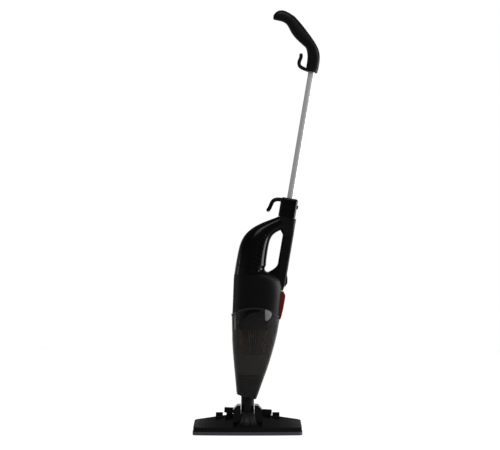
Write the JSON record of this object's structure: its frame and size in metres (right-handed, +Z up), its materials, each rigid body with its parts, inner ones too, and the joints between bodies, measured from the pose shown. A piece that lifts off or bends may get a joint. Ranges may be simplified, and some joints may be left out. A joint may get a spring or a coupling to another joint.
{
  "type": "upright vacuum cleaner",
  "caption": "Upright corded stick vacuum cleaner with a clear dirt cup, a motor housing with a loop grip, a removable wand with cord hooks, and a flat wheeled floor head.",
  "frame": {"origin": "on the floor, on the sole of the floor head, straight under the neck's pipe", "axes": "+Z up, +X along the floor head's width towards the side of the cup release, +Y from the floor head's front to its wheels"},
  "size_m": [0.3351, 0.1261, 1.1175],
  "materials": {
    "black_gloss": "gloss",
    "black_satin": "satin",
    "bumper_grey": "matte",
    "soft_rubber": "matte",
    "steel": "satin",
    "bristle": "matte",
    "smoky_clear": "gloss",
    "filter_paper": "matte",
    "latch_red": "gloss",
    "tube_metal": "gloss"
  },
  "bodies": {
    "floor_head": {"head_cover": "black_gloss", "throat_cover": "black_satin", "sole_plate": "black_satin", "bumper_strip": "bumper_grey", "axle_left": "steel", "axle_right": "steel", "pedal_pin": "steel"},
    "wheel_left": {"wheel_tyre_left": "soft_rubber", "wheel_rim_left": "black_satin"},
    "wheel_right": {"wheel_tyre_right": "soft_rubber", "wheel_rim_right": "black_satin"},
    "pedal": {"pedal": "black_satin"},
    "brush": {"bristle_front": "bristle", "bristle_rear": "bristle", "brush_carrier": "black_satin"},
    "neck": {"neck_pipe": "black_satin", "neck_seal": "soft_rubber"},
    "cup": {"cup_shell": "smoky_clear", "cup_rim": "black_satin", "nozzle_insert": "black_satin"},
    "flap": {"inlet_flap": "black_satin"},
    "housing": {"housing_near": "black_gloss", "housing_far": "black_gloss", "grip_spine": "black_satin", "motor": "steel", "motor_deck": "black_satin", "filter": "filter_paper", "filter_holder": "black_satin", "cord_bush": "soft_rubber", "exhaust_foam": "soft_rubber", "housing_screw_1": "steel", "housing_screw_2": "steel", "housing_screw_3": "steel"},
    "latch": {"cup_release": "latch_red"},
    "switch": {"power_switch": "black_satin"},
    "rotor": {"rotor": "black_satin"},
    "wand": {"wand_tube": "tube_metal", "wand_collar": "black_gloss", "grip_near": "black_satin", "grip_far": "black_satin", "grip_screw_1": "steel", "grip_screw_2": "steel"},
    "tube_lock": {"lock_button": "black_satin"},
    "cord_hook": {"upper_hook": "black_satin"}
  },
  "joints": [
    {"name": "wheel_spin_left", "type": "hinge", "parent": "floor_head", "child": "wheel_left", "pos_m": [-0.076, 0.049, 0.0205], "axis": [1, 0, 0], "continuous": true},
    {"name": "wheel_spin_right", "type": "hinge", "parent": "floor_head", "child": "wheel_right", "pos_m": [0.076, 0.049, 0.0205], "axis": [1, 0, 0], "continuous": true},
    {"name": "pedal_rock", "type": "hinge", "parent": "floor_head", "child": "pedal", "pos_m": [0, 0.054, 0.027], "axis": [0, -1, 0], "range_deg": [0, 6]},
    {"name": "brush_drop", "type": "slide", "parent": "floor_head", "child": "brush", "axis": [0, 0, -1], "range_m": [0, 0.004]},
    {"name": "neck_tilt", "type": "hinge", "parent": "floor_head", "child": "neck", "pos_m": [0, 0, 0.04], "axis": [-1, 0, 0], "range_deg": [0, 65]},
    {"name": "body_swivel", "type": "hinge", "parent": "neck", "child": "cup", "pos_m": [0, 0, 0.12], "axis": [0, 0, 1], "range_deg": [-90, 90]},
    {"name": "flap_open", "type": "hinge", "parent": "cup", "child": "flap", "pos_m": [-0.0205, 0, 0.1512], "axis": [0, -1, 0], "range_deg": [0, 60]},
    {"name": "housing_lift", "type": "slide", "parent": "cup", "child": "housing", "axis": [0, 0, 1], "range_m": [0, 0.12]},
    {"name": "latch_press", "type": "hinge", "parent": "housing", "child": "latch", "pos_m": [0.0865, 0, 0.338], "axis": [0, -1, 0], "range_deg": [0, 5], "stiffness_Nm_per_rad": 2, "springref_deg": -2.86},
    {"name": "switch_slide", "type": "slide", "parent": "housing", "child": "switch", "axis": [0.1668, 0, 0.986], "range_m": [0, 0.006]},
    {"name": "rotor_spin", "type": "hinge", "parent": "housing", "child": "rotor", "pos_m": [0.027, 0, 0.38], "axis": [0, 0, 1], "continuous": true},
    {"name": "wand_pull", "type": "slide", "parent": "housing", "child": "wand", "axis": [0.1668, 0, 0.986], "range_m": [0, 0.024]},
    {"name": "lock_press", "type": "slide", "parent": "wand", "child": "tube_lock", "axis": [-0.986, 0, 0.1668], "range_m": [0, 0.0025], "stiffness_N_per_m": 700, "springref_m": -0.002},
    {"name": "hook_swing", "type": "hinge", "parent": "wand", "child": "cord_hook", "pos_m": [0.17023, 0, 0.9574], "axis": [0.1668, 0, 0.986], "range_deg": [0, 180]}
  ],
  "couplings": [
    {"joint": "brush_drop", "follows": "pedal_rock", "m_per_rad": 0.038}
  ]
}
